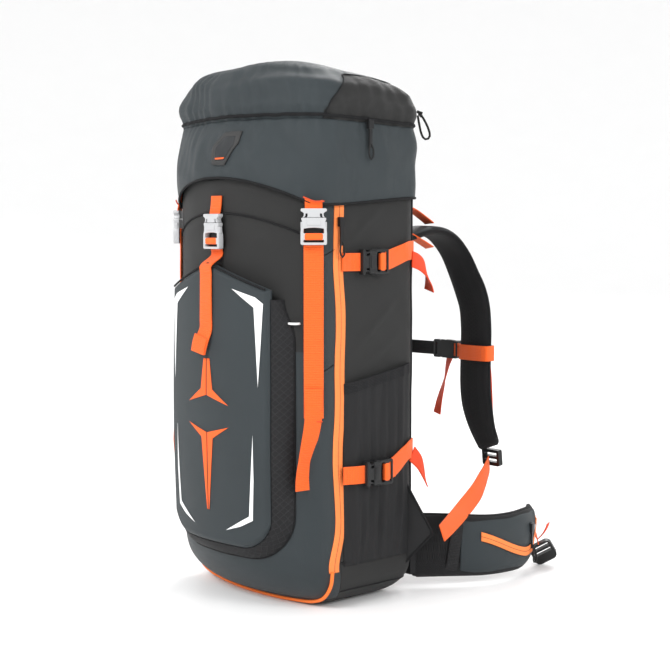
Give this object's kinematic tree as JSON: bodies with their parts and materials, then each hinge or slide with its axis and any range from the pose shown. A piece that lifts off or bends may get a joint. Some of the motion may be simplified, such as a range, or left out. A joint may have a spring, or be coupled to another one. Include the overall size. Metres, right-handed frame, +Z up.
{
  "type": "hiking backpack",
  "caption": "Top-loading hiking backpack with hinged lid, zipped front pocket, mesh side pockets, compression straps, padded shoulder harness and folding hip belt.",
  "frame": {"origin": "middle of the flat base on the ground, on the pack's centre line", "axes": "+Z up, -Y the front away from the wearer, +Y the harness side, +X the wearer's right"},
  "size_m": [0.3926, 0.5043, 0.712],
  "materials": {
    "shell_grey": "coated polyester ripstop, slate grey",
    "shell_black": "coated polyester, charcoal",
    "mesh_black": "stretch mesh, matt black",
    "cord_black": "braided cord",
    "frame_sheet": "extruded sheet",
    "stay_aluminium": "satin bar",
    "zip_orange": "woven zip tape with a coil",
    "slider_metal": "painted die-cast slider",
    "cord_white": "braided elastic cord",
    "webbing_orange": "woven polyester webbing",
    "buckle_black": "moulded acetal",
    "buckle_silver": "moulded acetal, silver grey",
    "badge_rubber": "moulded soft patch",
    "foam_black": "mesh-covered foam",
    "webbing_black": "woven webbing",
    "fin_grey": "padded coated polyester"
  },
  "bodies": {
    "pack": {"front_pocket_panel": "shell_grey", "front_panel": "shell_black", "back_panel": "shell_black", "side_panel_right": "shell_black", "side_panel_left": "shell_black", "base_panel": "shell_black", "collar": "shell_black", "harness_yoke": "shell_black", "lid_hinge_hem": "shell_black", "stabiliser_wings": "shell_black", "hip_anchors": "shell_black", "front_pocket_gusset": "mesh_black", "mesh_pocket_right": "mesh_black", "mesh_pocket_left": "mesh_black", "collar_drawcord": "cord_black", "frame_sheet": "frame_sheet", "frame_stays": "stay_aluminium", "front_zips": "zip_orange", "gear_loops": "cord_white", "bag_webbing": "webbing_orange", "fixed_sockets": "buckle_black", "back_pads": "foam_black", "lumbar_pad": "foam_black"},
    "haul": {"haul_loop": "webbing_black"},
    "lid": {"lid_shell": "shell_grey", "lid_pocket_floor": "shell_black", "lid_zip": "zip_orange", "lid_badge": "badge_rubber", "lid_plugs": "buckle_silver", "lid_stubs": "webbing_orange"},
    "lid_zip_pull": {"lid_zip_slider": "slider_metal"},
    "lid_socket_right": {"lid_socket_right": "buckle_silver"},
    "lid_socket_left": {"lid_socket_left": "buckle_silver"},
    "stash_plug": {"stash_plug": "buckle_silver"},
    "front_zip_right": {"front_zip_slider_right": "slider_metal"},
    "front_zip_left": {"front_zip_slider_left": "slider_metal"},
    "sternum_plug": {"sternum_plug": "buckle_black"},
    "side_plug_upper_right": {"side_plug_upper_right": "buckle_black"},
    "side_plug_lower_right": {"side_plug_lower_right": "buckle_black"},
    "shoulder_right": {"shoulder_strap_right": "foam_black", "strap_webbing_right": "webbing_orange", "ladder_lock_right": "buckle_black"},
    "sternum_right": {"sternum_slider_right": "webbing_orange", "sternum_socket": "buckle_black"},
    "fin_right": {"hip_fin_right": "fin_grey", "hip_pocket_right": "fin_grey"},
    "hip_zip_right": {"hip_zip_slider_right": "slider_metal"},
    "hip_belt_end_right": {"hip_webbing_right": "webbing_orange", "hip_buckle_right": "buckle_black"},
    "side_plug_upper_left": {"side_plug_upper_left": "buckle_black"},
    "side_plug_lower_left": {"side_plug_lower_left": "buckle_black"},
    "shoulder_left": {"shoulder_strap_left": "foam_black", "strap_webbing_left": "webbing_orange", "ladder_lock_left": "buckle_black"},
    "sternum_left": {"sternum_slider_left": "webbing_orange"},
    "fin_left": {"hip_fin_left": "fin_grey", "hip_pocket_left": "fin_grey"},
    "hip_zip_left": {"hip_zip_slider_left": "slider_metal"},
    "hip_belt_end_left": {"hip_webbing_left": "webbing_orange", "hip_buckle_left": "buckle_black"}
  },
  "joints": [
    {"name": "lid_open", "type": "hinge", "parent": "pack", "child": "lid", "pos_m": [0, 0.109, 0.528], "axis": [-1, 0, 0], "range_deg": [0, 80]},
    {"name": "lid_zip_slide", "type": "slide", "parent": "lid", "child": "lid_zip_pull", "axis": [0, -1, 0], "range_m": [0, 0.045]},
    {"name": "haul_loop_lift", "type": "hinge", "parent": "pack", "child": "haul", "pos_m": [0, 0.1088, 0.514], "axis": [1, 0, 0], "range_deg": [0, 30]},
    {"name": "lid_socket_right_slide", "type": "slide", "parent": "pack", "child": "lid_socket_right", "axis": [0, 0, -1], "range_m": [0, 0.026]},
    {"name": "lid_socket_left_slide", "type": "slide", "parent": "pack", "child": "lid_socket_left", "axis": [0, 0, -1], "range_m": [0, 0.026]},
    {"name": "stash_plug_release", "type": "slide", "parent": "pack", "child": "stash_plug", "axis": [0, 0, 1], "range_m": [0, 0.022]},
    {"name": "front_zip_right_slide", "type": "slide", "parent": "pack", "child": "front_zip_right", "axis": [0, 0, -1], "range_m": [0, 0.38]},
    {"name": "front_zip_left_slide", "type": "slide", "parent": "pack", "child": "front_zip_left", "axis": [0, 0, -1], "range_m": [0, 0.38]},
    {"name": "sternum_release", "type": "slide", "parent": "sternum_left", "child": "sternum_plug", "axis": [-1, 0, 0], "range_m": [0, 0.022]},
    {"name": "side_upper_right_release", "type": "slide", "parent": "pack", "child": "side_plug_upper_right", "axis": [0, -1, 0], "range_m": [0, 0.018]},
    {"name": "side_lower_right_release", "type": "slide", "parent": "pack", "child": "side_plug_lower_right", "axis": [0, -1, 0], "range_m": [0, 0.018]},
    {"name": "shoulder_right_swing", "type": "hinge", "parent": "pack", "child": "shoulder_right", "pos_m": [0.06, 0.122, 0.463], "axis": [0.3161, -0.0251, -0.9484], "range_deg": [0, 22]},
    {"name": "sternum_right_height", "type": "slide", "parent": "shoulder_right", "child": "sternum_right", "axis": [0, 0, 1], "range_m": [-0.04, 0.04]},
    {"name": "hip_fin_right_fold", "type": "hinge", "parent": "pack", "child": "fin_right", "pos_m": [0.1225, 0.12, 0.05], "axis": [0, 0, 1], "range_deg": [0, 30]},
    {"name": "hip_zip_right_slide", "type": "hinge", "parent": "fin_right", "child": "hip_zip_right", "pos_m": [0.066, 0.252, 0.068], "axis": [0, 0, -1], "range_deg": [0, 38]},
    {"name": "hip_belt_end_right_swing", "type": "hinge", "parent": "fin_right", "child": "hip_belt_end_right", "pos_m": [0.15199, 0.33312, 0.058], "axis": [0.7431, 0.6691, 0], "range_deg": [0, 25]},
    {"name": "side_upper_left_release", "type": "slide", "parent": "pack", "child": "side_plug_upper_left", "axis": [0, -1, 0], "range_m": [0, 0.018]},
    {"name": "side_lower_left_release", "type": "slide", "parent": "pack", "child": "side_plug_lower_left", "axis": [0, -1, 0], "range_m": [0, 0.018]},
    {"name": "shoulder_left_swing", "type": "hinge", "parent": "pack", "child": "shoulder_left", "pos_m": [-0.06, 0.122, 0.463], "axis": [0.3161, 0.0251, 0.9484], "range_deg": [0, 22]},
    {"name": "sternum_left_height", "type": "slide", "parent": "shoulder_left", "child": "sternum_left", "axis": [0, 0, 1], "range_m": [-0.04, 0.04]},
    {"name": "hip_fin_left_fold", "type": "hinge", "parent": "pack", "child": "fin_left", "pos_m": [-0.1225, 0.12, 0.05], "axis": [0, 0, -1], "range_deg": [0, 30]},
    {"name": "hip_zip_left_slide", "type": "hinge", "parent": "fin_left", "child": "hip_zip_left", "pos_m": [-0.066, 0.252, 0.068], "axis": [0, 0, 1], "range_deg": [0, 38]},
    {"name": "hip_belt_end_left_swing", "type": "hinge", "parent": "fin_left", "child": "hip_belt_end_left", "pos_m": [-0.15199, 0.33312, 0.058], "axis": [0.7431, -0.6691, 0], "range_deg": [0, 25]}
  ],
  "couplings": [
    {"joint": "sternum_left_height", "follows": "sternum_right_height", "ratio": 1}
  ]
}
